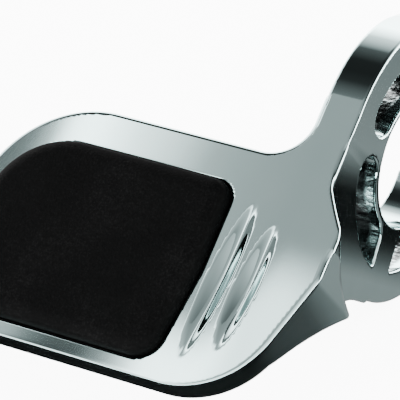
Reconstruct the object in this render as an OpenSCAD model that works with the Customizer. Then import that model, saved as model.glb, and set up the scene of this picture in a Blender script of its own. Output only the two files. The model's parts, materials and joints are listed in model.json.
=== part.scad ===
// Palm rest for a motorcycle throttle: a die-cast paddle with a rubber palm pad, on a slotted clamp
// ring that closes on the handlebar grip. The origin is the middle of the ring's bore, +X runs along
// the bar to its outboard end, and the part stands as it does on a table: on the ring's rim and on
// the paddle's near edge.

/* [Clamp ring] */
// Diameter of the bar that the ring clamps, which is the bore
bar_d = 25.4; // [22:0.1:28]
// Outside diameter of the ring
ring_d = 55.4; // [52:0.2:66]
// Length of the ring along the bar
ring_len = 8.5; // [8:0.5:14]
// Wall between the bore and the slots
bore_wall = 1.3; // [1:0.1:2.5]
// Wall between the slots and the rim
rim_wall = 6.3; // [5:0.1:9]
// Angle from the deck's normal to the first spoke
spoke_turn = 13.5; // [8:0.5:20]
// Gap between two slots at a spoke with round ends
round_spoke_w = 4; // [3:0.5:6]
// Width of a spoke with straight sides
straight_spoke_w = 7.8; // [7:0.1:10]

/* [Paddle] */
// Width of the paddle along the bar
paddle_w = 76.2; // [68:0.2:92]
// Distance from the bar's axis to the paddle's far edge, along the deck
paddle_far = 13.6; // [12:0.1:16]
// Length of the paddle across the bar, along the deck
paddle_len = 48.6; // [46:0.2:59]
// How far the paddle stands outboard of the ring's face
paddle_proud = 5.2; // [4:0.1:7]
// Drop from the ring's crown to the deck
deck_drop = 0.1; // [0.05:0.05:0.5]
// Thickness of the deck
deck_t = 3.6; // [3.2:0.1:4.5]
// Depth of the skirt below the deck's top
skirt_h = 6.2; // [5.6:0.1:8]
// Thickness of the skirt and the gusset's walls
skirt_t = 2.6; // [2:0.1:3]
// Thickness of the ribs below the deck
rib_t = 1.8; // [1.2:0.1:2.4]
// Radius of the far inboard corner
far_corner_r = 23; // [18:0.5:24]
// Radius of the near inboard corner
near_corner_r = 15; // [10:0.5:20]
// Radius of the sweep at the near outboard corner
sweep_r = 19.6; // [15:0.2:20]
// Distance from the outboard edge to the middle of that sweep
sweep_in = 23.2; // [21:0.2:25]
// Length of the straight outboard edge, measured from the bar's axis
outboard_run = 36; // [32:0.5:40]
// Radius of the fillet between the ring and the paddle's far edge
neck_fillet_r = 8; // [4:0.5:10]

/* [Gusset] */
// Radius of the arch under the gusset
arch_r = 46; // [38:0.5:80]
// Angle from the deck's normal to the arch's foot on the rim
arch_foot = 98.5; // [90:0.5:100]
// Distance from the bar's axis to the arch's toe on the skirt
arch_toe = 51.6; // [48:0.2:54]
// Step from the rim out to the foot of the recess at the ring's face
recess_step = 4.1; // [3:0.1:5]
// Radial growth of the recess over its depth
recess_flare = 4.7; // [3:0.1:6]

/* [Palm pad] */
// Margin from the far edge to the pad
pad_far_gap = 7.9; // [6:0.1:10]
// Margin from the near edge to the pad
pad_near_gap = 3.7; // [3.4:0.1:6]
// Margin from the inboard edge to the pad
pad_in_gap = 4; // [3.4:0.1:6]
// Margin from the outboard edge to the pad
pad_out_gap = 23.5; // [22:0.1:26]
// Height of the pad above the deck
pad_rise = 3.5; // [2:0.1:5]
// Bevel around the pad's top
pad_bevel = 1.4; // [0.5:0.1:1.8]
// Radii of the pad's corners, from the far inboard one, going outboard and round
pad_corners = [16, 3.8, 5.5, 10]; // [2:0.1:18]
// Depth of the tray that the pad sits in
tray_depth = 1.6; // [1.2:0.1:2]
// Gap around the pad in its tray
tray_gap = 0.25; // [0.2:0.05:0.5]
// Thickness of the steel backing plate
plate_t = 1.2; // [0.8:0.1:1.5]
// Rubber around the edge of the backing plate
plate_cover = 2; // [1.5:0.1:3]
// Thickness of the gasket below the pad
gasket_t = 0.5; // [0.3:0.1:0.8]

/* [Pad fasteners] */
// Diameter of the studs on the backing plate
stud_d = 3; // [2.5:0.5:3]
// Radial clearance of a screw or a stud in its hole
hole_clear = 0.2; // [0.1:0.05:0.4]
// Outside diameter of the pad's washers
washer_d = 7; // [6:0.5:8]
// Thickness of the washers
washer_t = 0.5; // [0.4:0.1:0.8]
// Width across the flats of the pad's nuts
nut_w = 5.5; // [5:0.1:6]
// Thickness of the pad's nuts
nut_t = 1.8; // [1.5:0.1:2]

/* [Scoops] */
// Lengths of the two scoops beside the pad
scoop_len = [33, 26.5]; // [20:0.5:36]
// Greatest width of a scoop
scoop_w = 4.3; // [3:0.1:5]
// Greatest depth of a scoop
scoop_depth = 1.3; // [0.8:0.1:1.6]
// Distances from the outboard edge to the middles of the scoops
scoop_in = [19.4, 13.45]; // [10:0.1:22]
// Distance from the bar's axis to the middles of the scoops
scoop_mid = 40; // [38:0.5:42]
// Turn of the scoops from square to the bar
scoop_turn = 4; // [0:0.5:8]

/* [Pinch bolt] */
// Diameter of the pinch bolt and of the set screw
screw_d = 4; // [3.5:0.5:4]
// Angle from the deck's normal to the slit
slit_turn = 194; // [190:1:200]
// Width of the slit
slit_w = 1.6; // [1:0.1:2.5]
// Thickness of each pinch ear
ear_t = 6.4; // [5.5:0.1:8]
// Distance from the rim to the pinch bolt's axis
ear_reach = 4.6; // [4.4:0.1:6]
// Diameter of the pinch bolt's head
head_d = 7; // [6:0.1:7.4]
// Height of the pinch bolt's head
head_h = 4; // [3:0.1:4.5]
// Width across the flats of the pinch nut
pinch_nut_w = 7; // [6.5:0.1:7]
// Thickness of the pinch nut
pinch_nut_t = 3.2; // [2.4:0.1:3.4]
// Gap between pieces that turn or slide on each other
run_gap = 0.05; // [0.02:0.01:0.1]

/* [Set screw] */
// Length of the set screw
set_screw_len = 8; // [6:0.5:9]
// Length of the tip that shows below the set screw
tip_len = 1; // [0.8:0.1:1.5]
// Diameter of the tip
tip_d = 2.5; // [2:0.1:2.6]
// Distance that the tip stands back from the bar
tip_back = 0.3; // [0.2:0.1:0.6]

/* [Hidden] */
$fn = 96;
eps = 0.01;
// The slots' round ends are this much smaller, so that they stay inside the slots' curved sides.
end_ease = 0.02;

bore_r = bar_d / 2;
ring_r = ring_d / 2;
slot_in_r = bore_r + bore_wall;
slot_out_r = ring_r - rim_wall;
slot_mid_r = (slot_in_r + slot_out_r) / 2;
slot_w = slot_out_r - slot_in_r;
round_spokes = [spoke_turn, spoke_turn + 180];
straight_spokes = [spoke_turn + 90, spoke_turn + 270];

// The deck's own frame has x along the bar, -y from the bar down the paddle and z out of the deck.
face_x = ring_len / 2;
back_x = -ring_len / 2;
out_x = face_x + paddle_proud;
in_x = out_x - paddle_w;
far_y = -paddle_far;
near_y = far_y - paddle_len;
deck_z = ring_r - deck_drop;
under_z = deck_z - deck_t;
skirt_z = deck_z - skirt_h;
tray_z = deck_z - tray_depth;
recess_r = ring_r + recess_step;
outboard_corner_r = 6;
outboard_corner_y = 2 - outboard_run;
neck_root = 10;

// The tilt puts the rim and the skirt's near edge on one level.
edge_reach = norm([near_y, skirt_z]);
tilt = atan2(skirt_z, -near_y) + asin(ring_r / edge_reach);

// The arch passes through its foot on the rim and its toe on the skirt.
foot = ring_r * [-sin(arch_foot), cos(arch_foot)];
toe = [-arch_toe, skirt_z];
chord = toe - foot;
arch_drop = sqrt(arch_r ^ 2 - (norm(chord) / 2) ^ 2);
arch_mid = (foot + toe) / 2 + [-chord[1], chord[0]] / norm(chord) * arch_drop;

pad_in_x = in_x + pad_in_gap;
pad_out_x = out_x - pad_out_gap;
pad_far_y = far_y - pad_far_gap;
pad_near_y = near_y + pad_near_gap;
pad_z = tray_z + gasket_t;
pad_h = deck_z + pad_rise - pad_z;
pad_side_r = 12;
pad_side_y = (pad_far_y + pad_near_y) / 2 + 2;
pad_lean = 1.8;

// Studs, at shares of the pad's width and length from its inboard near corner.
stud_at = [
    for (s = [[0.23, 0.42], [0.82, 0.8], [0.82, 0.2]])
    [pad_in_x + s[0] * (pad_out_x - pad_in_x), pad_near_y + s[1] * (pad_far_y - pad_near_y)]
];
stud_len = pad_z - under_z + washer_t + nut_t;
rib_x = (stud_at[0][0] + stud_at[1][0]) / 2;

// The ears stand in from the ring's faces, and their round back stands out a little from their sides.
bolt_r = ring_r + ear_reach;
ear_face = slit_w / 2 + ear_t;
ear_inset = 0.2;
ear_swell = 0.1;
ear_half_w = ring_len / 2 - ear_inset;
ear_back_r = ear_half_w + ear_swell;
bolt_len = 2 * ear_face + washer_t;
screw_r = screw_d / 2;
tip_r = tip_d / 2;
tip_stem = 1.5;
tip_foot_r = bore_r + tip_back;
set_screw_r = tip_foot_r + tip_len;
socket_w = 0.75 * screw_d;
set_socket_w = 0.5 * screw_d;

// A circle around a hexagon of the given width across its flats.
function hex_r(w) = w / 2 / cos(30);

// Stands the part up from the deck's frame.
module stand() rotate([tilt, 0, 0]) children();

// Turns round the bar by an angle from the deck's normal towards the paddle: z is then radial.
module clock(a) rotate([a, 0, 0]) children();

// Draws along the bar: a flat shape's x and y become y and z.
module along_bar(x0, x1) translate([x0, 0, 0]) rotate([90, 0, 90]) linear_extrude(x1 - x0) children();

// A cylinder along the bar.
module bar_cylinder(r1, r2, x0, x1)
    translate([x0, 0, 0]) rotate([0, 90, 0]) cylinder(r1 = r1, r2 = r2, h = x1 - x0);

// A point of the annulus of slots, at a radius and an angle from the deck's normal.
function polar(r, a) = r * [-sin(a), cos(a)];

// The paddle's plan, drawn in from its edge by the inset.
module paddle_plan(inset = 0) {
    hull() {
        translate([in_x + far_corner_r, far_y - far_corner_r]) circle(far_corner_r - inset);
        translate([in_x + near_corner_r, near_y + near_corner_r]) circle(near_corner_r - inset);
        translate([out_x - sweep_in, near_y + sweep_r]) circle(sweep_r - inset);
        translate([out_x - outboard_corner_r, outboard_corner_y]) circle(outboard_corner_r - inset);
        translate([out_x - outboard_corner_r - inset, far_y - outboard_corner_r])
            square([outboard_corner_r, outboard_corner_r - inset]);
    }
}

// The plan with the neck that runs on over the ring, and a fillet inboard of it.
module casting_plan() {
    offset(r = -neck_fillet_r) offset(r = neck_fillet_r) {
        paddle_plan();
        translate([back_x, far_y - neck_root]) square([ring_len, neck_root - far_y]);
    }
}

// The side view of the deck and the gusset, above the arch.
module gusset_side() {
    difference() {
        polygon([[0, 0], [0, deck_z], [near_y - 1, deck_z], [near_y - 1, skirt_z], toe, foot]);
        intersection() {
            translate(arch_mid) circle(arch_r, $fn = 128);
            translate([-arch_toe, -ring_r]) square([arch_toe, 2 * ring_r]);
        }
    }
}

// The pad's outline, drawn in from its edge by the inset.
module pad_plan(inset = 0) {
    c = pad_corners;
    hull() {
        translate([pad_in_x + c[0], pad_far_y - c[0]]) circle(c[0] - inset);
        translate([pad_out_x - c[1], pad_far_y - c[1]]) circle(c[1] - inset);
        translate([pad_out_x - pad_side_r, pad_side_y]) circle(pad_side_r - inset);
        translate([pad_out_x - pad_lean - c[2], pad_near_y + c[2]]) circle(c[2] - inset);
        translate([pad_in_x + c[3], pad_near_y + c[3]]) circle(c[3] - inset);
    }
}

// The four slots: round ends at two spokes and straight ends at the other two.
module slots() {
    half_gap = asin((round_spoke_w + slot_w) / 2 / slot_mid_r);
    far = 2 * slot_out_r;
    difference() {
        circle(slot_out_r);
        circle(slot_in_r);
        for (a = straight_spokes)
            rotate(a) translate([-straight_spoke_w / 2, 0]) square([straight_spoke_w, far]);
        for (a = round_spokes)
            polygon([[0, 0], polar(far, a - half_gap), polar(far, a + half_gap)]);
    }
    for (a = round_spokes) for (s = [-1, 1])
        translate(polar(slot_mid_r, a + s * half_gap)) circle(slot_w / 2 - end_ease);
}

// A shallow almond cut, from a torus that dips below the deck.
module scoop(length, x) {
    tube_r = ((scoop_w / 2) ^ 2 + scoop_depth ^ 2) / (2 * scoop_depth);
    reach = ((length / 2) ^ 2 + scoop_depth ^ 2) / (2 * scoop_depth);
    translate([x, -scoop_mid, deck_z - scoop_depth + reach]) rotate([0, 0, -scoop_turn])
        rotate([0, 90, 0]) rotate_extrude(angle = 60, start = -30)
            translate([reach - tube_r, 0]) circle(tube_r);
}

// The pinch ears: a bar across the slit, with round backs along the bolt.
module ears() {
    clock(slit_turn) {
        translate([-ear_half_w, -ear_face, slot_out_r + 1])
            cube([2 * ear_half_w, 2 * ear_face, bolt_r - slot_out_r - 1]);
        translate([0, ear_face, bolt_r]) rotate([90, 0, 0]) cylinder(r = ear_back_r, h = 2 * ear_face);
    }
}

// The ring with its ears, slots and screw holes.
module clamp_ring() {
    difference() {
        union() {
            bar_cylinder(ring_r, ring_r, back_x, face_x);
            ears();
        }
        bar_cylinder(bore_r, bore_r, back_x - 1, face_x + 1);
        along_bar(back_x - 1, face_x + 1) slots();
        clock(slit_turn) translate([back_x - 1, -slit_w / 2, 0])
            cube([ring_len + 2, slit_w, bolt_r + ring_len]);
        clock(slit_turn) translate([0, ear_face + 1, bolt_r]) rotate([90, 0, 0]) {
            cylinder(r = screw_r + hole_clear, h = 2 * ear_face + 2);
            rotate(30) cylinder(r = hex_r(pinch_nut_w) + hole_clear, h = pinch_nut_t + 1, $fn = 6);
        }
        clock(straight_spokes[1]) cylinder(r = screw_r + run_gap, h = ring_r + 1);
    }
}

// The deck and its gusset before any cut.
module paddle_block() {
    translate([0, 0, skirt_z]) linear_extrude(deck_z - skirt_z) casting_plan();
    intersection() {
        translate([0, 0, -ring_r]) linear_extrude(2 * ring_r) casting_plan();
        along_bar(back_x, out_x + 1) gusset_side();
    }
}

// The hollow under the deck, with the gusset's inner wall and the ribs left standing.
module underside() {
    core_r = recess_r + recess_flare * (1 - skirt_t / paddle_proud) + skirt_t;
    difference() {
        translate([0, 0, -ring_r]) linear_extrude(under_z + ring_r) paddle_plan(skirt_t);
        bar_cylinder(core_r, core_r, back_x, out_x + 1);
        translate([back_x, near_y, -ring_r]) cube([skirt_t, paddle_len, 2 * ring_r]);
        translate([rib_x - rib_t / 2, near_y, skirt_z + 1]) cube([rib_t, paddle_len, skirt_h]);
        translate([rib_x, (stud_at[1][1] + stud_at[2][1]) / 2 - rib_t / 2, skirt_z + 1])
            cube([back_x - rib_x + eps, rib_t, skirt_h]);
    }
}

// The deck with its gusset, tray and scoops, open where the ring's slots and bore are.
module paddle() {
    open_r = slot_out_r + 1;
    difference() {
        paddle_block();
        bar_cylinder(open_r, open_r, back_x - 1, face_x + 1);
        underside();
        bar_cylinder(recess_r, recess_r + recess_flare * 1.2, face_x, face_x + paddle_proud * 1.2);
        translate([0, 0, tray_z]) linear_extrude(tray_depth + 1) pad_plan(-tray_gap);
        for (p = stud_at) translate([p[0], p[1], under_z - 1])
            cylinder(r = stud_d / 2 + hole_clear, h = deck_t + 1);
        for (i = [0, 1]) scoop(scoop_len[i], out_x - scoop_in[i]);
    }
}

module paddle_casting() {
    color("silver") stand() {
        clamp_ring();
        paddle();
    }
}

// The rubber pad: straight sides, then a bevel, with a pocket below for the plate.
module palm_pad() {
    color("#1c1c1e") stand() translate([0, 0, pad_z]) difference() {
        hull() {
            linear_extrude(pad_h - pad_bevel) pad_plan();
            translate([0, 0, pad_h - eps]) linear_extrude(eps) pad_plan(pad_bevel);
        }
        translate([0, 0, -1]) linear_extrude(plate_t + 1) pad_plan(plate_cover);
    }
}

module pad_backing_plate() {
    color("#8b8f92") stand() translate([0, 0, pad_z]) linear_extrude(plate_t) pad_plan(plate_cover);
}

module tray_gasket() {
    color("#3a3a3a") stand() difference() {
        translate([0, 0, tray_z]) linear_extrude(gasket_t) pad_plan();
        for (p = stud_at) translate([p[0], p[1], tray_z - 1])
            cylinder(r = stud_d / 2 + hole_clear, h = gasket_t + 2);
    }
}

// A stud from the plate down through the deck to the face of its nut.
module pad_stud(i) {
    color("#a8abad") stand() translate([stud_at[i][0], stud_at[i][1], pad_z - stud_len])
        cylinder(r = stud_d / 2, h = stud_len);
}

module pad_washer(i) {
    color("#c0c2c4") stand() translate([stud_at[i][0], stud_at[i][1], under_z - washer_t])
        difference() {
            cylinder(r = washer_d / 2, h = washer_t);
            translate([0, 0, -1]) cylinder(r = stud_d / 2 + hole_clear, h = washer_t + 2);
        }
}

// A nut whose thread is taken as tight on the stud.
module pad_nut(i) {
    color("#b4b7b9") stand() translate([stud_at[i][0], stud_at[i][1], under_z - washer_t - nut_t])
        difference() {
            cylinder(r = hex_r(nut_w), h = nut_t, $fn = 6);
            translate([0, 0, -1]) cylinder(r = stud_d / 2, h = nut_t + 2);
        }
}

// The pinch bolt's frame: z points from the nut to the head, from the middle of the slit.
module on_pinch_bolt() {
    stand() clock(slit_turn) translate([0, 0, bolt_r]) rotate([90, 0, 0]) children();
}

module pinch_bolt() {
    color("#d0d2d4") on_pinch_bolt() difference() {
        union() {
            translate([0, 0, ear_face + washer_t + 2 * run_gap - bolt_len])
                cylinder(r = screw_r, h = bolt_len + eps);
            translate([0, 0, ear_face + washer_t + 2 * run_gap]) cylinder(r = head_d / 2, h = head_h);
        }
        translate([0, 0, ear_face + washer_t + head_h / 2])
            cylinder(r = hex_r(socket_w), h = head_h, $fn = 6);
    }
}

module pinch_washer() {
    color("#c0c2c4") on_pinch_bolt() translate([0, 0, ear_face + run_gap]) difference() {
        cylinder(r = head_d / 2 + 0.5, h = washer_t);
        translate([0, 0, -1]) cylinder(r = screw_r + hole_clear, h = washer_t + 2);
    }
}

module pinch_nut() {
    color("#b4b7b9") on_pinch_bolt() translate([0, 0, -ear_face]) difference() {
        rotate(30) cylinder(r = hex_r(pinch_nut_w), h = pinch_nut_t, $fn = 6);
        translate([0, 0, -1]) cylinder(r = screw_r + run_gap, h = pinch_nut_t + 2);
    }
}

// The set screw's frame: z points out of the bore along the fourth spoke.
module on_set_screw() stand() clock(straight_spokes[1]) children();

module set_screw() {
    color("#5f6265") on_set_screw() translate([0, 0, set_screw_r]) difference() {
        cylinder(r = screw_r, h = set_screw_len);
        translate([0, 0, -1]) cylinder(r = tip_r + run_gap, h = tip_stem + 1);
        translate([0, 0, set_screw_len - 2.5]) cylinder(r = hex_r(set_socket_w), h = 3, $fn = 6);
    }
}

module set_screw_tip() {
    color("#e9e6dc") on_set_screw() translate([0, 0, tip_foot_r])
        cylinder(r = tip_r, h = tip_len + tip_stem - run_gap);
}

paddle_casting();
palm_pad();
pad_backing_plate();
tray_gasket();
for (i = [0:2]) {
    pad_stud(i);
    pad_washer(i);
    pad_nut(i);
}
pinch_bolt();
pinch_washer();
pinch_nut();
set_screw();
set_screw_tip();
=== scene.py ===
import json
import math

import bpy
import numpy as np
from mathutils import Matrix, Vector


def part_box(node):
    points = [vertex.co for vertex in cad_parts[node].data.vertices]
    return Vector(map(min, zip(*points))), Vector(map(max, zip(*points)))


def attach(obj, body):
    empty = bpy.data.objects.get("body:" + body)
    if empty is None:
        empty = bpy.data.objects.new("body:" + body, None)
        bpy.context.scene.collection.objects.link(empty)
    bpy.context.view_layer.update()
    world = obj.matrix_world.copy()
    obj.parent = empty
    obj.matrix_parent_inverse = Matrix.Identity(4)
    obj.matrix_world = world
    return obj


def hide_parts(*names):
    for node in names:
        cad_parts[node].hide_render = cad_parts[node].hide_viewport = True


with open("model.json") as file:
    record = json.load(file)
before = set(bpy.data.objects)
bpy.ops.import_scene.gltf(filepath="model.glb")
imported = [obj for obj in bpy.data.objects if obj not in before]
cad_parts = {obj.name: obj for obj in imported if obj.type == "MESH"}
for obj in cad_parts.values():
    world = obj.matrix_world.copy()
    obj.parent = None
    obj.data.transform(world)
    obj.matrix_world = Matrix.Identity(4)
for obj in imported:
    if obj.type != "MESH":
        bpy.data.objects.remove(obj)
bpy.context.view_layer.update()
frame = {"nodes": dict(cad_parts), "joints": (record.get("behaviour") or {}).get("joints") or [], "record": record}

# ---------------------------------------------------------------- sizes, in mm, in the deck's frame
# x runs along the bar outboard, -y down the paddle, z out of the deck; the origin is the bore's middle.
MM = 1000.0
mount = frame["record"]["mounts"][0]
turn = next(j for j in frame["joints"] if j["name"] == "set_screw_turn")
PSI_SET = 283.5                                   # clock angle of the set screw's spoke
TILT = math.radians((math.degrees(math.atan2(-turn["axis"][1], turn["axis"][2])) - PSI_SET) % 360)
cast_lo, cast_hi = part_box("paddle_casting")
BORE_R, HALF = mount["dims"]["r_mm"], mount["dims"]["length_mm"] / 2
RING_R = -cast_lo.z * MM
IN_X, OUT_X = cast_lo.x * MM, cast_hi.x * MM
FAR_Y, NEAR_Y = -13.6, -62.2
DECK_Z, UNDER_Z, SKIRT_Z, TRAY_Z = RING_R - 0.1, RING_R - 3.7, RING_R - 6.3, RING_R - 1.7
PAD_Z, PAD_TOP = TRAY_Z + 0.5, DECK_Z + 3.5
SLOT_IN, SLOT_OUT = BORE_R + 1.3, RING_R - 6.3
SLOT_MID, SLOT_HALF = (SLOT_IN + SLOT_OUT) / 2, (SLOT_OUT - SLOT_IN) / 2
PSI_0, PSI_SLIT = 13.5, 194.0
ARCH_R, ARCH_TOE, ARCH_FOOT = 46.0, -51.6, math.radians(98.5)
REC_R, REC_GROW = RING_R + 4.1, 4.7 / 5.2
CORE_R = REC_R + 4.7 * (1 - 2.6 / 5.2) + 2.6
BOLT_R, EAR = RING_R + 4.6, 7.2
PLAN = [(OUT_X - 0.6, FAR_Y - 0.6, 0.6), (IN_X + 23, FAR_Y - 23, 23), (IN_X + 15, NEAR_Y + 15, 15),
        (OUT_X - 23.2, NEAR_Y + 19.6, 19.6), (OUT_X - 6, -34, 6)]
PI, PO, PF, PN = IN_X + 4, OUT_X - 23.5, FAR_Y - 7.9, NEAR_Y + 3.7
PAD = [(PO - 3.8, PF - 3.8, 3.8), (PI + 16, PF - 16, 16), (PI + 10, PN + 10, 10),
       (PO - 1.8 - 5.5, PN + 5.5, 5.5), (PO - 12, (PF + PN) / 2 + 2, 12)]
STUDS = [(PI + a * (PO - PI), PN + b * (PF - PN)) for a, b in ((0.23, 0.42), (0.82, 0.8), (0.82, 0.2))]
RIB_X = (STUDS[0][0] + STUDS[1][0]) / 2
RIB_Y = (STUDS[1][1] + STUDS[2][1]) / 2
SCOOPS = [(33.0, OUT_X - 19.4), (26.5, OUT_X - 13.45)]
SCOOP_MID, SCOOP_TURN = -40.0, math.radians(4)
SCOOP_HALF_W, SCOOP_DIP = 2.65, 1.3                # with its soft lips


def stand(p):
    """Deck frame in mm to world in metres."""
    c, s = math.cos(TILT), math.sin(TILT)
    return np.stack([p[:, 0], p[:, 1] * c - p[:, 2] * s, p[:, 1] * s + p[:, 2] * c], 1) / MM


def clock(p, psi):
    """Points (tangent x, radial z) round the bar: frame with z radial at the clock angle, to deck frame."""
    c, s = math.cos(math.radians(psi)), math.sin(math.radians(psi))
    return np.stack([p[:, 0], p[:, 1] * c - p[:, 2] * s, p[:, 1] * s + p[:, 2] * c], 1)


# ---------------------------------------------------------------- distance functions
def ri(a, b, r):
    """Intersection with its edge rounded."""
    return np.minimum(-r, np.maximum(a, b)) + np.hypot(np.maximum(a + r, 0), np.maximum(b + r, 0))


def ru(a, b, r):
    """Union with its corner filled."""
    return np.maximum(r, np.minimum(a, b)) - np.hypot(np.maximum(r - a, 0), np.maximum(r - b, 0))


def smooth(t):
    t = np.clip(t, 0, 1)
    return t * t * (3 - 2 * t)


def hull(x, y, circles):
    """Signed distance to the hull of circles given counter-clockwise."""
    n = len(circles)
    normals = []
    for i in range(n):
        (ax, ay, ar), (bx, by, br) = circles[i], circles[(i + 1) % n]
        ux, uy = bx - ax, by - ay
        length = math.hypot(ux, uy)
        ux, uy = ux / length, uy / length
        s = (ar - br) / length
        q = math.sqrt(1 - s * s)
        normals.append((ux * s + uy * q, uy * s - ux * q))
    d = np.full(np.shape(x), -1e9)
    for i in range(n):
        cx, cy, r = circles[i]
        px, py = x - cx, y - cy
        nx, ny = normals[i]
        mx, my = normals[i - 1]
        d = np.maximum(d, px * nx + py * ny - r)
        inside = (mx * py - my * px >= 0) & (px * ny - py * nx >= 0)
        d = np.maximum(d, np.where(inside, np.hypot(px, py) - r, -1e9))
    return d


def value_noise(p, scale, seed):
    """Smooth noise in -1..1 from a hashed lattice."""
    q = p / scale
    i = np.floor(q).astype(np.int64)
    f = smooth(q - i)
    out = np.zeros(len(p))
    for k in range(8):
        o = np.array([k & 1, k >> 1 & 1, k >> 2 & 1])
        c = (i + o) * np.array([73856093, 19349663, 83492791])
        h = (c[:, 0] ^ c[:, 1] ^ c[:, 2] ^ (seed * 2654435761)) & 0xFFFFFF
        h = (h * 1103515245 + 12345) & 0xFFFFFF
        w = np.prod(np.where(o == 1, f, 1 - f), 1)
        out += w * (h / 0x7FFFFF - 1)
    return out


def arch_mid():
    foot = RING_R * np.array([-math.sin(ARCH_FOOT), math.cos(ARCH_FOOT)])
    toe = np.array([ARCH_TOE, SKIRT_Z])
    chord = toe - foot
    drop = math.sqrt(ARCH_R ** 2 - (np.linalg.norm(chord) / 2) ** 2)
    return (foot + toe) / 2 + np.array([-chord[1], chord[0]]) / np.linalg.norm(chord) * drop


ARCH = arch_mid()


def polar(y, z, psi):
    """(radial, tangential) of a point in the frame of a clock angle."""
    s, c = math.sin(math.radians(psi)), math.cos(math.radians(psi))
    return -y * s + z * c, y * c + z * s


def slot_distance(y, z, r):
    """The four slots: round ends at two spokes, straight ends at the other two."""
    a, t = polar(y, z, PSI_0)                     # along the round spokes, and across them
    half = math.asin((4.0 / 2 + SLOT_HALF) / SLOT_MID)
    ex, et = SLOT_MID * math.cos(half), SLOT_MID * math.sin(half)
    near = np.abs(t) < np.abs(a) * math.tan(half)
    ends = np.hypot(np.abs(a) - ex, np.abs(t) - et) - SLOT_HALF
    band = np.where(near, ends, np.abs(r - SLOT_MID) - SLOT_HALF)
    side = 3.9 - np.abs(a)                        # the straight spokes lie along the tangent axis
    corner = 0.5 + 1.9 * smooth((SLOT_MID + 1.2 - r) / 3.0)
    return ri(band, side, corner)


def cavity_distance(x, y, z, r, plan):
    """The hollow under the deck, with its inner wall and ribs left standing."""
    d = ri(plan + 2.6, z - UNDER_Z, 1.0)
    d = ri(d, CORE_R - r, 1.2)
    d = ri(d, 1.3 - np.abs(x + HALF - 1.3), 1.0)
    low = SKIRT_Z + 1 - z
    rib = ri(np.abs(x - RIB_X) - 0.9, low, 0.5)
    d = ri(d, -rib, 0.7)
    span = np.abs(x - (RIB_X - HALF) / 2) - (-HALF - RIB_X) / 2
    rib = ri(np.maximum(np.abs(y - RIB_Y) - 0.9, span), low, 0.5)
    return ri(d, -rib, 0.7)


def scoop_depth(x, y, length, at):
    """How far a scoop dips below the deck: pointed ends, soft lips and a smooth hollow."""
    c, s = math.cos(SCOOP_TURN), math.sin(SCOOP_TURN)
    px, py = x - at, y - SCOOP_MID
    across, along = px * c - py * s, px * s + py * c
    reach = 1 - (along / (length / 2)) ** 2
    q = np.clip(reach - (across / SCOOP_HALF_W) ** 2, 0, 1)
    return SCOOP_DIP * q * q


def casting_parts(p):
    """The casting's distance and the distances of the cuts that stay rough."""
    x, y, z = p[:, 0], p[:, 1], p[:, 2]
    r = np.hypot(y, z)
    big_plan = hull(x, y, PLAN)
    plan = ru(big_plan, np.maximum(np.abs(x) - HALF, -23.6 - y), 8.0)
    top = np.maximum(z - DECK_Z, y)
    foot = -math.cos(ARCH_FOOT) * y - math.sin(ARCH_FOOT) * z
    wedge = np.maximum(ARCH_R - np.hypot(y - ARCH[0], z - ARCH[1]), foot)
    a_slit, t_slit = polar(y, z, PSI_SLIT)
    ear = ri(np.abs(t_slit) - EAR, np.maximum(a_slit - BOLT_R - 4.1, -a_slit), 1.2)
    disk = ru(r - RING_R, ear, 1.6)
    side = np.maximum(ru(disk, wedge, 2.4), np.minimum(disk, top))
    upper = smooth((z + 14) / 8)
    rear = 0.5 + 0.7 * upper
    d = ri(side, -HALF - x, rear)
    d = np.minimum(d, np.maximum(top, SKIRT_Z - z))
    ring = smooth((y + 15) / 9)
    edge = (1 - ring) * (0.6 + 0.4 * smooth((z - 23) / 2)) + ring * (0.6 + (rear - 0.6) * smooth(0.5 - x / 6))
    d = ri(d, plan, edge)
    cone = (REC_R + REC_GROW * (x - HALF) - r) * math.cos(math.atan(REC_GROW))
    front = ru(x - HALF, cone, 0.5)
    d = ri(d, front, 0.01 + 0.95 * smooth((-6 - y) / 4))
    back = np.hypot(x, np.maximum(a_slit - BOLT_R, 0)) - 4.15
    d = np.maximum(d, np.where(a_slit > RING_R + 1.5, back, -1e9))
    d = ri(d, BORE_R - r, 0.35)
    slots = slot_distance(y, z, r)
    d = ri(d, -slots, 0.45)
    d = ri(d, -np.maximum(np.abs(t_slit) - 0.8, -a_slit), 0.25)
    d = ri(d, 2.2 - np.hypot(x, a_slit - BOLT_R), 0.2)
    hexa = np.maximum(np.abs(x), np.maximum(np.abs(x / 2 + (a_slit - BOLT_R) * 0.866),
                                            np.abs(x / 2 - (a_slit - BOLT_R) * 0.866))) - 3.68
    d = ri(d, -np.maximum(hexa, 4.0 - t_slit), 0.2)
    a_set, t_set = polar(y, z, PSI_SET)
    d = ri(d, -np.maximum(np.hypot(x, t_set) - 2.05, -a_set), 0.25)
    cavity = cavity_distance(x, y, z, r, big_plan)
    d = ri(d, -cavity, 0.5)
    tray = ri(hull(x, y, PAD) - 0.25, TRAY_Z - z, 0.4)
    d = ri(d, -tray, 0.35)
    for sx, sy in STUDS:
        d = ri(d, -np.maximum(np.hypot(x - sx, y - sy) - 1.7, UNDER_Z - 1 - z), 0.15)
    for length, at in SCOOPS:
        dip = scoop_depth(x, y, length, at)
        d = np.where(dip > 0, np.maximum(d, (z - DECK_Z + dip) * 0.85), d)
    return d, slots, cavity, tray


def casting(p):
    return casting_parts(p)[0]


def pad(p):
    """The rubber pad: straight sides, a soft bevel and a slightly crowned top."""
    x, y, z = p[:, 0], p[:, 1], p[:, 2]
    plan = hull(x, y, PAD)
    crown = 0.16 * (1 - smooth(-plan / 13))
    d = ri(plan, (plan + (z - PAD_TOP) + 1.45) * 0.7071, 0.9)
    d = ri(d, z - PAD_TOP + crown, 1.3)
    d = ri(d, PAD_Z - z, 0.2)
    return ri(d, -np.maximum(plan + 2, z - PAD_Z - 1.2), 0.15)


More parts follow.
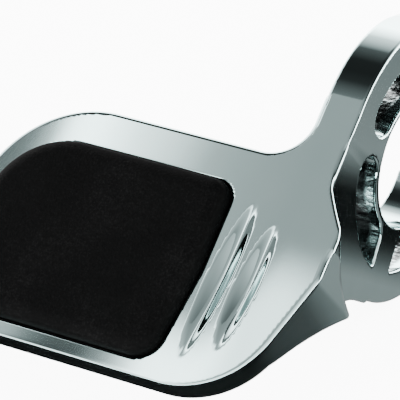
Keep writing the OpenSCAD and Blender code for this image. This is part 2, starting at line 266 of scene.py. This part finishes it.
# ---------------------------------------------------------------- meshing
def contour(f, lo, hi, step):
    """Quads on the surface f = 0, each vertex moved onto it, with normals from its gradient."""
    n = [int(math.ceil((b - a) / step)) + 2 for a, b in zip(lo, hi)]
    n = [v + (-v) % 4 + 1 for v in n]
    axes = [a - step + step * np.arange(v) for a, v in zip(lo, n)]
    # Blocks of 4 cells: the function is only worked out where the surface can pass.
    nb = [(v - 1) // 4 for v in n]
    mids = [a[0] + step * (4 * np.arange(b) + 2) for a, b in zip(axes, nb)]
    g = np.stack(np.meshgrid(*mids, indexing="ij"), -1).reshape(-1, 3)
    coarse = np.concatenate([f(c) for c in np.array_split(g, max(1, len(g) // 200000))]).reshape(nb)
    hot = np.abs(coarse) < step * 2 * math.sqrt(3) * 1.25
    dist = np.repeat(np.repeat(np.repeat(coarse, 4, 0), 4, 1), 4, 2)
    dist = np.pad(dist, ((0, 1),) * 3, mode="edge")
    near = np.zeros(n, bool)
    hot_cells = np.repeat(np.repeat(np.repeat(hot, 4, 0), 4, 1), 4, 2)
    for k in range(8):
        o = (k & 1, k >> 1 & 1, k >> 2 & 1)
        near[o[0]:o[0] + 4 * nb[0], o[1]:o[1] + 4 * nb[1], o[2]:o[2] + 4 * nb[2]] |= hot_cells
    idx = np.argwhere(near)
    pts = np.stack([axes[k][idx[:, k]] for k in range(3)], 1)
    vals = np.concatenate([f(c) for c in np.array_split(pts, max(1, len(pts) // 200000))])
    dist[near] = vals
    inside = dist < 0
    cells = np.zeros([v - 1 for v in n], np.int8)
    for k in range(8):
        o = (k & 1, k >> 1 & 1, k >> 2 & 1)
        cells += inside[o[0]:n[0] - 1 + o[0], o[1]:n[1] - 1 + o[1], o[2]:n[2] - 1 + o[2]]
    ci = np.argwhere((cells > 0) & (cells < 8))
    number = np.full(cells.shape, -1, np.int64)
    number[tuple(ci.T)] = np.arange(len(ci))
    corner = np.array([[k & 1, k >> 1 & 1, k >> 2 & 1] for k in range(8)])
    cv = np.stack([dist[tuple((ci + c).T)] for c in corner], 1)
    total, count = np.zeros((len(ci), 3)), np.zeros(len(ci))
    for i in range(8):
        for j in range(i + 1, 8):
            if np.abs(corner[i] - corner[j]).sum() == 1:
                a, b = cv[:, i], cv[:, j]
                cross = (a < 0) != (b < 0)
                t = np.where(cross, a / np.where(cross, a - b, 1), 0)
                total += np.where(cross[:, None], corner[i] + t[:, None] * (corner[j] - corner[i]), 0)
                count += cross
    v = np.stack([axes[k][ci[:, k]] for k in range(3)], 1) + step * total / count[:, None]
    for _ in range(4):
        d, grad = gradient(f, v)
        move = -(d / np.maximum((grad ** 2).sum(1), 0.3))[:, None] * grad
        size = np.linalg.norm(move, axis=1, keepdims=True)
        v += move * np.minimum(1, 0.5 * step / np.maximum(size, 1e-9))
    _, grad = gradient(f, v)
    normal = grad / np.maximum(np.linalg.norm(grad, axis=1, keepdims=True), 1e-9)
    quads = []
    for k in range(3):
        a, b = (k + 1) % 3, (k + 2) % 3
        s0 = [slice(1, v_ - 1) for v_ in n]
        s1 = list(s0)
        s0[k], s1[k] = slice(0, n[k] - 1), slice(1, n[k])
        lo_in, hi_in = inside[tuple(s0)], inside[tuple(s1)]
        for flip, mask in ((False, lo_in & ~hi_in), (True, ~lo_in & hi_in)):
            e = np.argwhere(mask)
            e[:, a] += 1
            e[:, b] += 1
            ids = []
            for da, db in ((-1, -1), (0, -1), (0, 0), (-1, 0)):
                c = e.copy()
                c[:, a] += da
                c[:, b] += db
                ids.append(number[tuple(c.T)])
            q = np.stack(ids, 1)
            quads.append(q[:, ::-1] if flip else q)
    return v, np.concatenate(quads), normal


def gradient(f, p):
    h = 0.02
    out = np.zeros_like(p)
    for k in range(3):
        o = np.zeros(3)
        o[k] = h
        out[:, k] = (f(p + o) - f(p - o)) / (2 * h)
    return f(p), out


def mesh_object(name, verts, faces, normals=None, smooth_shade=True):
    me = bpy.data.meshes.new(name)
    faces = np.asarray(faces)
    me.vertices.add(len(verts))
    me.vertices.foreach_set("co", np.asarray(verts, np.float32).ravel())
    k = faces.shape[1]
    me.loops.add(faces.size)
    me.loops.foreach_set("vertex_index", faces.astype(np.int32).ravel())
    me.polygons.add(len(faces))
    me.polygons.foreach_set("loop_start", np.arange(0, faces.size, k, dtype=np.int32))
    me.update(calc_edges=True)
    me.validate()
    me.polygons.foreach_set("use_smooth", np.full(len(me.polygons), smooth_shade))
    if normals is not None:
        me.normals_split_custom_set_from_vertices(np.asarray(normals, float).tolist())
    ob = bpy.data.objects.new(name, me)
    bpy.context.scene.collection.objects.link(ob)
    return ob


def rotated(n):
    return stand(n) * MM


def set_attribute(ob, name, values):
    at = ob.data.attributes.new(name, "FLOAT", "POINT")
    at.data.foreach_set("value", np.asarray(values, np.float32))


# ---------------------------------------------------------------- materials
def material(name):
    m = bpy.data.materials.new(name)
    m.use_nodes = True
    nt = m.node_tree
    return m, nt, nt.nodes["Principled BSDF"]


def node(nt, kind, inputs=None, **props):
    n = nt.nodes.new(kind)
    for k, v in props.items():
        setattr(n, k, v)
    for k, v in (inputs or {}).items():
        if hasattr(v, "is_output"):
            nt.links.new(v, n.inputs[k])
        else:
            n.inputs[k].default_value = v
    return n


def ramp(nt, fac, stops):
    n = node(nt, "ShaderNodeValToRGB", {"Fac": fac})
    e = n.color_ramp.elements
    while len(e) < len(stops):
        e.new(0.5)
    for item, (pos, c) in zip(e, stops):
        item.position = pos
        item.color = (*c, 1) if len(c) == 3 else c
    return n.outputs["Color"]


def grey(v):
    return (v, v, v)


def objco(nt):
    return node(nt, "ShaderNodeTexCoord").outputs["Object"]


def noise(nt, co, scale, detail=3.0, rough=0.55):
    return node(nt, "ShaderNodeTexNoise", {"Vector": co, "Scale": scale, "Detail": detail,
                                           "Roughness": rough}).outputs["Fac"]


def maths(nt, op, a, b=0.0, c=0.0):
    return node(nt, "ShaderNodeMath", {0: a, 1: b, 2: c}, operation=op).outputs[0]


def chrome():
    """Bright chrome plate: faint haze and polishing lines, and the cast skin left in the recesses, rough there and
    also coloured near black with lighter streaks as painted shade.
    """
    m, nt, b = material("chrome_plate")
    co = objco(nt)
    skin_and_painted_shade = node(nt, "ShaderNodeAttribute", attribute_name="cast_skin_and_shade").outputs["Fac"]
    haze = noise(nt, co, 60.0, 4.0)
    stretched = node(nt, "ShaderNodeMapping", {"Vector": co, "Scale": (3.0, 1.0, 1.0)}).outputs[0]
    lines = noise(nt, stretched, 900.0, 2.0)
    cells = node(nt, "ShaderNodeTexVoronoi", {"Vector": co, "Scale": 1100.0}).outputs["Distance"]
    lumps = noise(nt, co, 750.0, 5.0, 0.65)
    tint = ramp(nt, haze, [(0.3, (0.575, 0.765, 0.757)), (0.7, (0.615, 0.805, 0.797))])
    along = node(nt, "ShaderNodeMapping", {"Vector": co, "Scale": (0.3, 1.0, 1.0)}).outputs[0]
    streaks = noise(nt, along, 520.0, 3.0, 0.6)
    # Painted shade: the cast skin in the slots, the hollow under the deck and the tray floor is coloured near
    # black with lighter streaks, standing for the shade in these recesses; its roughness and bumps are real.
    skin_painted_shade = ramp(nt, streaks, [(0.40, (0.02, 0.024, 0.024)), (0.52, (0.10, 0.115, 0.114)),
                                   (0.64, (0.56, 0.67, 0.665))])
    mix = node(nt, "ShaderNodeMix", {"Factor": skin_and_painted_shade, 6: tint, 7: skin_painted_shade}, data_type="RGBA")
    nt.links.new(mix.outputs[2], b.inputs["Base Color"])
    b.inputs["Metallic"].default_value = 1.0
    polish = maths(nt, "MULTIPLY_ADD", haze, 0.035, 0.035)
    polish = maths(nt, "MULTIPLY_ADD", lines, 0.015, polish)
    rough = maths(nt, "MULTIPLY_ADD", lumps, 0.18, 0.06)
    rmix = node(nt, "ShaderNodeMix", {"Factor": skin_and_painted_shade, 2: polish, 3: rough})
    nt.links.new(rmix.outputs[0], b.inputs["Roughness"])
    height = maths(nt, "ADD", lumps, maths(nt, "MULTIPLY", cells, 0.6))
    strength = maths(nt, "MULTIPLY", skin_and_painted_shade, 0.8)
    bump = node(nt, "ShaderNodeBump", {"Height": height, "Strength": strength, "Distance": 0.00016})
    fine = node(nt, "ShaderNodeBump", {"Height": haze, "Strength": 0.05, "Distance": 0.0001,
                                       "Normal": bump.outputs[0]})
    nt.links.new(fine.outputs[0], b.inputs["Normal"])
    return m


def rubber():
    """Moulded rubber: a fine pebble grain on the top, plainer at the sides."""
    m, nt, b = material("moulded_rubber")
    co = objco(nt)
    top = node(nt, "ShaderNodeAttribute", attribute_name="grain").outputs["Fac"]
    speck = node(nt, "ShaderNodeTexVoronoi", {"Vector": co, "Scale": 1900.0}).outputs["Distance"]
    fine = noise(nt, co, 2600.0, 4.0, 0.7)
    broad = noise(nt, co, 70.0, 3.0)
    both = maths(nt, "MULTIPLY", fine, maths(nt, "MULTIPLY_ADD", broad, 0.6, 0.7))
    colour = ramp(nt, both, [(0.36, (0.0012, 0.0013, 0.0013)), (0.56, (0.0020, 0.0021, 0.0021)),
                             (0.74, (0.0060, 0.0062, 0.0062))])
    nt.links.new(colour, b.inputs["Base Color"])
    rough = maths(nt, "MULTIPLY_ADD", fine, 0.22, 0.44)
    nt.links.new(rough, b.inputs["Roughness"])
    b.inputs["Specular IOR Level"].default_value = 0.02
    height = maths(nt, "MULTIPLY_ADD", speck, 0.7, fine)
    strength = maths(nt, "MULTIPLY_ADD", top, 0.5, 0.12)
    bump = node(nt, "ShaderNodeBump", {"Height": height, "Strength": strength, "Distance": 0.00012})
    nt.links.new(bump.outputs[0], b.inputs["Normal"])
    return m


def zinc(name, tint, rough, lathe_scale):
    """Plated steel hardware with turning marks and a mottled film."""
    m, nt, b = material(name)
    co = objco(nt)
    film = noise(nt, co, 260.0, 4.0)
    fine = noise(nt, co, lathe_scale, 3.0, 0.6)
    dark = tuple(0.72 * c for c in tint)
    nt.links.new(ramp(nt, film, [(0.32, dark), (0.68, tint)]), b.inputs["Base Color"])
    b.inputs["Metallic"].default_value = 1.0
    nt.links.new(maths(nt, "MULTIPLY_ADD", film, 0.22, rough), b.inputs["Roughness"])
    bump = node(nt, "ShaderNodeBump", {"Height": fine, "Strength": 0.25, "Distance": 0.00005})
    nt.links.new(bump.outputs[0], b.inputs["Normal"])
    return m


def black_oxide():
    m, nt, b = material("black_oxide")
    co = objco(nt)
    film = noise(nt, co, 700.0, 4.0)
    colour = ramp(nt, film, [(0.3, (0.03, 0.031, 0.034)), (0.7, (0.075, 0.077, 0.08))])
    nt.links.new(colour, b.inputs["Base Color"])
    b.inputs["Metallic"].default_value = 0.85
    nt.links.new(maths(nt, "MULTIPLY_ADD", film, 0.2, 0.32), b.inputs["Roughness"])
    bump = node(nt, "ShaderNodeBump", {"Height": film, "Strength": 0.2, "Distance": 0.00004})
    nt.links.new(bump.outputs[0], b.inputs["Normal"])
    return m


def nylon():
    m, nt, b = material("nylon")
    co = objco(nt)
    cloud = noise(nt, co, 900.0, 4.0)
    colour = ramp(nt, cloud, [(0.3, (0.70, 0.68, 0.60)), (0.7, (0.83, 0.81, 0.75))])
    nt.links.new(colour, b.inputs["Base Color"])
    nt.links.new(maths(nt, "MULTIPLY_ADD", cloud, 0.15, 0.38), b.inputs["Roughness"])
    b.inputs["Subsurface Weight"].default_value = 0.15
    b.inputs["Subsurface Scale"].default_value = 0.001
    bump = node(nt, "ShaderNodeBump", {"Height": cloud, "Strength": 0.15, "Distance": 0.00005})
    nt.links.new(bump.outputs[0], b.inputs["Normal"])
    return m


def gasket_foam():
    m, nt, b = material("gasket_rubber")
    co = objco(nt)
    cells = noise(nt, co, 1800.0, 5.0, 0.7)
    nt.links.new(ramp(nt, cells, [(0.3, grey(0.02)), (0.7, grey(0.06))]), b.inputs["Base Color"])
    nt.links.new(maths(nt, "MULTIPLY_ADD", cells, 0.2, 0.7), b.inputs["Roughness"])
    bump = node(nt, "ShaderNodeBump", {"Height": cells, "Strength": 0.4, "Distance": 0.0001})
    nt.links.new(bump.outputs[0], b.inputs["Normal"])
    return m


CHROME, RUBBER = chrome(), rubber()
ZINC = zinc("zinc_plate", (0.68, 0.69, 0.70), 0.2, 3200.0)
STAINLESS = zinc("stainless", (0.74, 0.74, 0.73), 0.12, 4200.0)
PLATE = zinc("plate_steel", (0.6, 0.61, 0.62), 0.28, 1500.0)
OXIDE, NYLON, FOAM = black_oxide(), nylon(), gasket_foam()

# ---------------------------------------------------------------- the casting and the pad
STEP = 0.42
lo = (IN_X - 0.5, NEAR_Y - 0.5, -RING_R - 9.5)
hi = (OUT_X + 0.5, RING_R + 0.5, RING_R + 0.5)
v, q, nrm = contour(casting, lo, hi, STEP)
_, slots, cavity, tray = casting_parts(v)
# Mask of the cast skin in the slots, the hollow and the tray floor: it makes these recesses rough and bumpy, and
# the chrome material also uses it to paint shade there.
deep = smooth((HALF - 1.6 - v[:, 0]) / 1.2)
skin_and_shade_mask = smooth((0.35 - np.abs(slots)) / 0.2) * deep
skin_and_shade_mask = np.maximum(skin_and_shade_mask, smooth((0.6 - np.abs(cavity)) / 0.3))
skin_and_shade_mask = np.maximum(skin_and_shade_mask, smooth((0.45 - np.abs(tray)) / 0.2) * (v[:, 2] < DECK_Z - 0.9))
lump = value_noise(v, 1.1, 5) + 0.6 * value_noise(v, 0.55, 9)
v = v + nrm * (0.035 * skin_and_shade_mask * lump)[:, None]
casting_ob = mesh_object("paddle_casting_skin", stand(v), q, rotated(nrm))
set_attribute(casting_ob, "cast_skin_and_shade", skin_and_shade_mask)
casting_ob.data.materials.append(CHROME)
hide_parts("paddle_casting")
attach(casting_ob, "rest")

lo = (PI - 0.5, PN - 0.5, PAD_Z - 0.5)
hi = (PO + 0.5, PF + 0.5, PAD_TOP + 0.5)
v, q, nrm = contour(pad, lo, hi, 0.27)
plan = hull(v[:, 0], v[:, 1], PAD)
grain = smooth((-plan - 0.9) / 1.0) * smooth((v[:, 2] - PAD_TOP + 1.0) / 0.6)
lump = value_noise(v, 0.62, 3)
v = v + nrm * (grain * 0.022 * (lump - 1))[:, None]
pad_ob = mesh_object("palm_pad_rubber", stand(v), q, rotated(nrm))
set_attribute(pad_ob, "grain", grain)
pad_ob.data.materials.append(RUBBER)
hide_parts("palm_pad")
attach(pad_ob, "rest")


# ---------------------------------------------------------------- turned and hexagonal hardware
def loft(rings, n, cap_start=True, cap_end=True):
    """Rings of (radius by angle, height by angle), as triangles and quads split into triangles."""
    th = 2 * math.pi * np.arange(n) / n
    verts, faces = [], []
    for rad, h in rings:
        rad, h = np.broadcast_to(rad, n), np.broadcast_to(h, n)
        verts.append(np.stack([rad * np.cos(th), rad * np.sin(th), h], 1))
    k = len(rings)
    verts = np.concatenate(verts)
    i = np.arange(n)
    j = (i + 1) % n
    for a in range(k - 1):
        b = a + 1
        faces.append(np.stack([a * n + i, a * n + j, b * n + j], 1))
        faces.append(np.stack([a * n + i, b * n + j, b * n + i], 1))
    if cap_start:
        verts = np.vstack([verts, [[0, 0, np.mean(rings[0][1])]]])
        faces.append(np.stack([np.full(n, len(verts) - 1), j, i], 1))
    if cap_end:
        verts = np.vstack([verts, [[0, 0, np.mean(rings[-1][1])]]])
        faces.append(np.stack([np.full(n, len(verts) - 1), (k - 1) * n + i, (k - 1) * n + j], 1))
    return verts, np.concatenate(faces)


def hexagon(width, n, phase=0.0):
    th = 2 * math.pi * np.arange(n) / n + phase
    return width / 2 / np.cos((th + math.pi / 6) % (math.pi / 3) - math.pi / 6)


def thread(r, depth, pitch, z0, z1, n, ease=0.5):
    """Rings of an outside thread, faded at both ends."""
    th = np.arange(n) / n
    steps = max(8, int((z1 - z0) / pitch * 8))
    out = []
    for t in np.linspace(0, 1, steps + 1):
        z = z0 + t * (z1 - z0)
        cut = np.abs(((z / pitch - th) % 1) * 2 - 1)
        fade = min(1, (z - z0) / ease, (z1 - z) / ease) if ease else 1
        out.append((r - depth * max(0, fade) * np.clip(cut * 1.25 - 0.1, 0, 1), z))
    return out


def place(name, rings, n, to_deck, cad, body, mat, caps=(True, True), sharp=35.0):
    verts, faces = loft(rings, n, *caps)
    ob = mesh_object(name, stand(to_deck(verts)), faces, smooth_shade=True)
    ob.data.set_sharp_from_angle(angle=math.radians(sharp))
    ob.data.materials.append(mat)
    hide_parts(cad)
    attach(ob, body)
    return ob


def washer(name, cad, inner, outer, thick, to_deck, body):
    e = 0.12
    rings = [(inner, e), (inner + e, 0), (outer - e, 0), (outer, e), (outer, thick - e), (outer - e, thick),
             (inner + e, thick), (inner, thick - e), (inner, e)]
    return place(name, rings, 64, to_deck, cad, body, ZINC, (False, False))


def nut(name, cad, width, hole, thick, to_deck, body, phase=0.0):
    n = 96
    flat = hexagon(width, n, phase)
    c = width / 2
    rings = [(hole + 0.25, 0.0), (np.full(n, c - 0.25), 0.0)]
    for z, lim in ((0.04, c + 0.0), (0.22, c + 0.22), (0.4, c + 0.5), (thick - 0.4, c + 0.5),
                   (thick - 0.22, c + 0.22), (thick - 0.04, c + 0.0)):
        rings.append((np.minimum(flat, lim), z))
    rings += [(np.full(n, c - 0.25), thick), (hole + 0.25, thick), (hole, thick - 0.25)]
    inner = thread(hole + 0.16, 0.16, 0.6, 0.25, thick - 0.25, n, 0)
    rings += inner[::-1]
    rings += [(hole, 0.25), (hole + 0.25, 0.0)]
    return place(name, rings, n, to_deck, cad, body, ZINC, (False, False))


for i, (sx, sy) in enumerate(STUDS):
    def at(z0, sx=sx, sy=sy):
        return lambda p: p + np.array([sx, sy, z0])
    k = str(i + 1)
    length = PAD_Z - (UNDER_Z - 0.5 - 1.8)
    n = 48
    rings = [(0.9, 0.0), (1.2, 0.0), (1.47, 0.28)] + thread(1.5, 0.22, 0.5, 0.3, length - 0.6, n, 0.25)
    rings += [(1.5, length - 0.3), (1.5, length)]
    place("stud_" + k, rings, n, at(PAD_Z - length), "pad_stud_" + k, "rest", ZINC)
    washer("washer_" + k, "pad_washer_" + k, 1.7, 3.5, 0.5, at(UNDER_Z - 0.5), "rest")
    nut("nut_" + k, "pad_nut_" + k, 5.5, 1.5, 1.8, at(UNDER_Z - 2.3), "rest")


def on_bolt(z0):
    """The pinch bolt's frame, from its height along the bolt, to the deck's frame."""
    def go(p):
        q_ = np.stack([p[:, 0], -(p[:, 2] + z0), p[:, 1] + BOLT_R], 1)
        return clock(q_, PSI_SLIT)
    return go


def on_screw(z0):
    return lambda p: clock(p + np.array([0, 0, z0]), PSI_SET)


# Pinch bolt: a knurled socket head cap screw.
n = 144
under = EAR + 0.5 + 0.1                            # the head's seat, over the washer
length = 2 * EAR + 0.5
th = 2 * math.pi * np.arange(n) / n
knurl = 3.5 - 0.13 * np.abs(np.sin(18 * th))
sock = hexagon(3.0, n)
rings = [(1.1, -length), (1.5, -length), (1.92, -length + 0.45)]
rings += thread(2.0, 0.27, 0.7, -length + 0.5, -2.6, n, 0.4)
rings += [(2.0, -2.3), (2.0, -0.25), (2.12, -0.02), (3.2, 0.0), (3.36, 0.12), (knurl, 0.4), (knurl, 1.8),
          (knurl, 3.2), (3.42, 3.45), (3.3, 3.72), (3.05, 3.9), (2.7, 4.0), (2.05, 4.0)]
rings += [(np.maximum(sock, 1.9), 3.97), (sock, 3.75), (sock, 2.9), (sock, 2.1), (0.9, 1.95)]
place("pinch_bolt_screw", rings, n, on_bolt(under), "pinch_bolt", "bolt", STAINLESS)
washer("pinch_washer_ring", "pinch_washer", 2.2, 4.0, 0.5, on_bolt(EAR + 0.05), "washer")
nut("pinch_nut_hex", "pinch_nut", 7.0, 2.05, 3.2, on_bolt(-EAR), "rest", phase=math.pi / 6)

# Set screw with its nylon tip.
n = 96
sock = hexagon(2.0, n)
rings = [(1.3, 1.4), (1.3, 0.0), (1.6, 0.0), (1.9, 0.3)] + thread(2.0, 0.27, 0.7, 0.35, 7.6, n, 0.3)
rings += [(1.9, 7.7), (1.6, 8.0), (np.maximum(sock, 1.25), 8.0), (sock, 7.7), (sock, 6.6), (sock, 5.6),
          (0.6, 5.4)]
place("set_screw_grub", rings, n, on_screw(BORE_R + 1.3), "set_screw", "screw", OXIDE)
rings = [(0.8, 0.0), (1.1, 0.05), (1.25, 0.22), (1.25, 0.9), (1.22, 1.0), (1.22, 2.45)]
place("set_screw_nylon", rings, 48, on_screw(BORE_R + 0.3), "set_screw_tip", "screw_tip", NYLON)

for name, mat in (("pad_backing_plate", PLATE), ("tray_gasket", FOAM)):
    ob = frame["nodes"][name]
    ob.data.materials.clear()
    ob.data.materials.append(mat)

# ---------------------------------------------------------------- floor, light and camera
FLOOR_Z = cast_lo.z - 0.0002


def plane(name, sx, sy, mat, loc=(0, 0, 0), look=None):
    me = bpy.data.meshes.new(name)
    me.from_pydata([(-sx / 2, -sy / 2, 0), (sx / 2, -sy / 2, 0), (sx / 2, sy / 2, 0), (-sx / 2, sy / 2, 0)],
                   [], [(0, 1, 2, 3)])
    ob = bpy.data.objects.new(name, me)
    bpy.context.scene.collection.objects.link(ob)
    ob.location = loc
    if look is not None:
        ob.rotation_mode = "QUATERNION"
        ob.rotation_quaternion = (Vector(look) - Vector(loc)).to_track_quat("Z", "Y")
    me.materials.append(mat)
    return ob


m, nt, b = material("floor")
co = objco(nt)
b.inputs["Roughness"].default_value = 0.9
pale = ramp(nt, noise(nt, co, 40.0, 2.0), [(0.3, grey(0.90)), (0.7, grey(0.915))])
nt.links.new(pale, b.inputs["Base Color"])
b.inputs["Emission Color"].default_value = (1, 1, 1, 1)
b.inputs["Emission Strength"].default_value = 9.0
plane("floor", 8.0, 8.0, m, (0, 0, FLOOR_Z))

world = bpy.data.worlds.new("studio")
bpy.context.scene.world = world
world.use_nodes = True
wt = world.node_tree
bg = wt.nodes["Background"]
way = node(wt, "ShaderNodeSeparateXYZ", {0: node(wt, "ShaderNodeTexCoord").outputs["Generated"]})
# The sky goes round the bar's own axis: white at the back, a dark gap overhead, grey to the front.
angle = maths(wt, "ARCTAN2", way.outputs["Y"], way.outputs["Z"])
turn_fac = maths(wt, "MULTIPLY_ADD", angle, 1 / (2 * math.pi), 0.5)
SKY = [(-180, 3.0), (-100, 3.0), (-75, 3.0), (-48, 1.2), (-36, 0.62), (-30, 0.45), (-22, 0.2),
       (-9, 0.035), (0.6, 0.022), (12.4, 0.025), (25.4, 0.13), (41, 1.9), (58, 10.0), (100, 8.0), (140, 3.0)]
TOP = 10.0
sky = ramp(wt, turn_fac, [(0.5 + a / 360, grey(c / TOP)) for a, c in SKY])
side = node(wt, "ShaderNodeMapRange", {"Value": way.outputs["X"], "From Min": -0.62, "From Max": -0.92},
            interpolation_type="SMOOTHSTEP").outputs[0]
sky = node(wt, "ShaderNodeMix", {"Factor": side, 6: sky, 7: (0.45, 0.45, 0.45, 1)},
           data_type="RGBA").outputs[2]
wt.links.new(sky, bg.inputs["Color"])
bg.inputs["Strength"].default_value = TOP


def area(name, loc, target, size, power, size_y=None, glossy=False):
    d = bpy.data.lights.new(name, "AREA")
    d.shape = "RECTANGLE"
    d.size = size
    d.size_y = size_y or size
    d.energy = power
    o = bpy.data.objects.new(name, d)
    bpy.context.scene.collection.objects.link(o)
    o.location = loc
    o.rotation_mode = "QUATERNION"
    o.rotation_quaternion = (Vector(target) - Vector(loc)).to_track_quat("-Z", "Y")
    o.visible_glossy = glossy
    return o


area("key", (-0.55, -0.5, 0.95), (0, -0.02, 0), 0.9, 9.0)
area("fill", (0.8, -0.5, 0.8), (0, -0.02, 0), 0.9, 5.0)
area("back", (0.1, 1.0, 0.9), (0, 0.1, 0), 1.2, 8.0)


def step_down(nt, value, start, end):
    """Smoothly 0 to 1 as the value goes from start to end."""
    return node(nt, "ShaderNodeMapRange", {"Value": value, "From Min": start, "From Max": end},
                interpolation_type="SMOOTHSTEP").outputs[0]


def card(name, corners, matrix, make):
    """A card that only the polished metal and the rubber reflect; the camera and the shadows pass it."""
    me = bpy.data.meshes.new(name)
    (x0, y0), (x1, y1) = corners
    me.from_pydata([(x0, y0, 0), (x1, y0, 0), (x1, y1, 0), (x0, y1, 0)], [], [(0, 1, 2, 3)])
    ob = bpy.data.objects.new(name, me)
    bpy.context.scene.collection.objects.link(ob)
    ob.matrix_world = matrix
    m = bpy.data.materials.new(name)
    m.use_nodes = True
    nt = m.node_tree
    nt.nodes.clear()
    xyz = node(nt, "ShaderNodeSeparateXYZ", {0: node(nt, "ShaderNodeTexCoord").outputs["Object"]})
    strength = make(nt, xyz.outputs["X"], xyz.outputs["Y"])
    em = node(nt, "ShaderNodeEmission", {"Color": (1, 1, 1, 1), "Strength": strength})
    nt.links.new(em.outputs[0], node(nt, "ShaderNodeOutputMaterial").inputs["Surface"])
    me.materials.append(m)
    ob.visible_camera = ob.visible_diffuse = ob.visible_shadow = False
    ob.visible_transmission = ob.visible_volume_scatter = False
    return ob


def tones(nt, value, stops, top):
    """A tone for each place along one axis, in metres."""
    lo_, hi_ = stops[0][0], stops[-1][0]
    fac = maths(nt, "MULTIPLY_ADD", value, 1 / (hi_ - lo_), -lo_ / (hi_ - lo_))
    colour = ramp(nt, fac, [((a - lo_) / (hi_ - lo_), grey(c / top)) for a, c in stops])
    return maths(nt, "MULTIPLY", colour, top)


# Tones of the cards, as (place in metres, strength), set by comparing renders with the photo.
FAR_TONES = [(-0.60, 0.25), (-0.30, 0.3), (-0.23, 0.25), (-0.203, 0.21), (-0.198, 0.32), (-0.193, 1.2),
             (-0.188, 6.5), (-0.182, 6.5), (-0.176, 4.6), (-0.169, 3.1), (-0.157, 1.8), (-0.147, 0.8),
             (-0.136, 0.66), (-0.119, 0.53), (0.05, 0.38)]
NEAR_TONES = [(-0.60, 0.25), (-0.25, 0.5), (-0.195, 0.9), (-0.182, 0.77), (-0.178, 0.35), (-0.172, 0.14),
              (-0.166, 0.1), (-0.160, 0.125), (-0.153, 0.42), (-0.147, 1.6), (-0.141, 5.5), (-0.125, 5.5),
              (-0.118, 3.2), (-0.110, 3.4), (-0.09, 0.9), (0.05, 0.4)]
LOW_TONES = [(-0.25, 0.01), (-0.052, 0.008), (-0.044, 0.05), (-0.032, 0.08), (-0.020, 0.34), (0.0, 0.36),
             (0.003, 0.3), (0.009, 0.12), (0.0145, 0.03), (0.019, 0.008), (0.034, 0.006), (0.040, 0.05),
             (0.0486, 0.24), (0.0535, 0.33), (0.06, 0.31), (0.10, 0.27), (0.25, 0.5)]


def softbox(nt, x, y):
    """Tones across the card, which change from the far edge to the near one, sooner on the outboard side."""
    shift = maths(nt, "MULTIPLY", step_down(nt, x, -0.128, -0.114), 0.024)
    near = step_down(nt, maths(nt, "SUBTRACT", y, shift), 0.012, -0.006)
    a, b = tones(nt, x, FAR_TONES, 10.0), tones(nt, x, NEAR_TONES, 10.0)
    return maths(nt, "MULTIPLY_ADD", near, maths(nt, "SUBTRACT", b, a), a)


def low_tones(nt, x, y):
    return tones(nt, y, LOW_TONES, 1.0)


card("softbox_card", ((-0.60, -0.13), (0.05, 0.086)),
     Matrix.Rotation(TILT, 4, "X") @ Matrix.Translation((0, 0, 0.25)), softbox)
card("low_card", ((-0.25, -0.25), (0.25, 0.25)), Matrix.Translation((0, 0, FLOOR_Z + 0.0001)), low_tones)

AZ, EL = math.radians(31.67), math.radians(25.81)
FOCAL_PX, SCALE, U0, V0 = 3500.0, 5.226, 411.8, 163.7
back = Vector((math.sin(AZ) * math.cos(EL), -math.cos(AZ) * math.cos(EL), math.sin(EL)))
right = (-back).cross(Vector((0, 0, 1))).normalized()
down = (-back).cross(right)
aim = Vector((HALF / MM, 0, 0)) - right * ((U0 - 200) / SCALE / MM) - down * ((V0 - 200) / SCALE / MM)
cam_data = bpy.data.cameras.new("camera")
cam_data.sensor_width = 36.0
cam_data.lens = FOCAL_PX / 400 * 36
cam_data.clip_start, cam_data.clip_end = 0.01, 50
camera = bpy.data.objects.new("camera", cam_data)
bpy.context.scene.collection.objects.link(camera)
rot = Matrix((right, -down, back)).transposed()
camera.matrix_world = Matrix.Translation(aim + back * (FOCAL_PX / SCALE / MM)) @ rot.to_4x4()
bpy.context.scene.camera = camera
